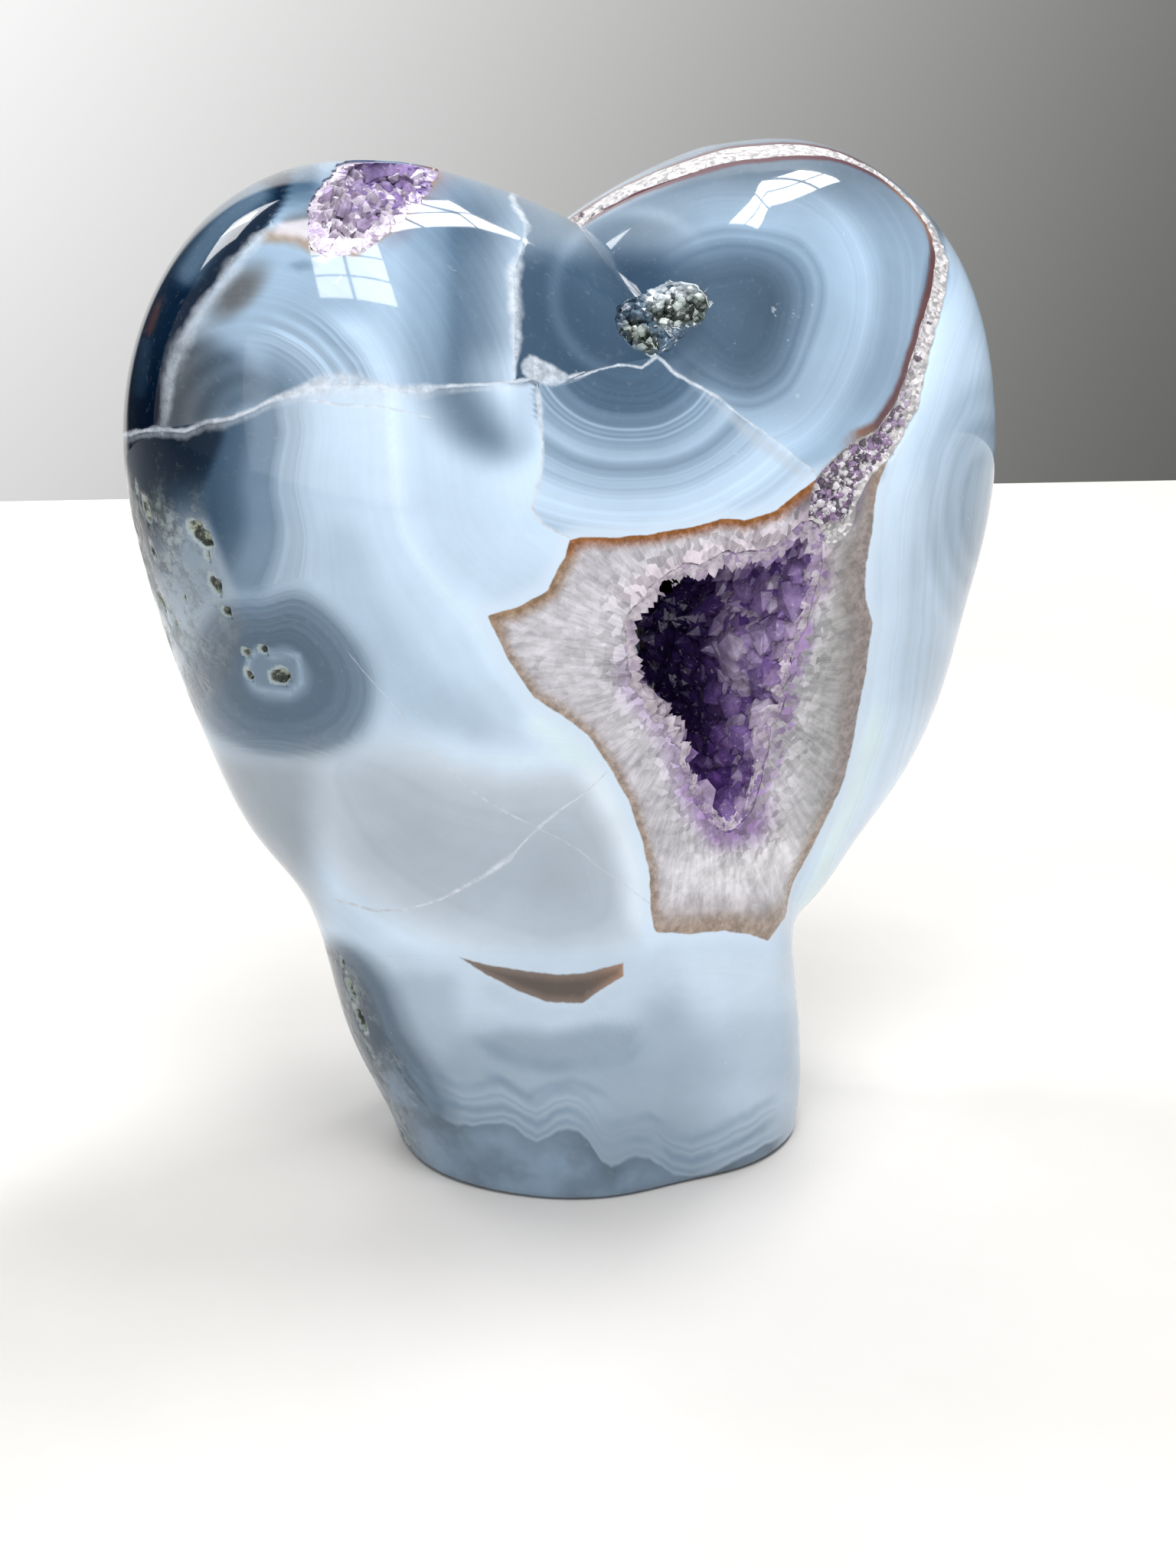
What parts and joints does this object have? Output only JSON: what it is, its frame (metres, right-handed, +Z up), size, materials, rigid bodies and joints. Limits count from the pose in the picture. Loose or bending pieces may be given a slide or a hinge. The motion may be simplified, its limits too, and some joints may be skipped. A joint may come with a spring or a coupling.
{
  "type": "agate heart stone",
  "caption": "Upright polished agate heart on its own flat oval foot, with an amethyst lined hollow in its front face.",
  "frame": {"origin": "centre of the bounding box on the plane of the flat foot", "axes": "+Z up from the foot to the lobes, -Y out of the face with the crystal hollow, +X to the viewer's right of that face"},
  "size_m": [0.0957, 0.0536, 0.1094],
  "materials": {
    "polished_agate": "polished",
    "amethyst": "natural crystal faces",
    "pale_quartz": "natural crystal faces",
    "green_grey_quartz": "natural crystal faces"
  },
  "bodies": {
    "root": {"agate_heart": "polished_agate", "amethyst_crust": "amethyst", "lobe_crust": "pale_quartz", "cleft_crust": "green_grey_quartz"}
  },
  "joints": []
}
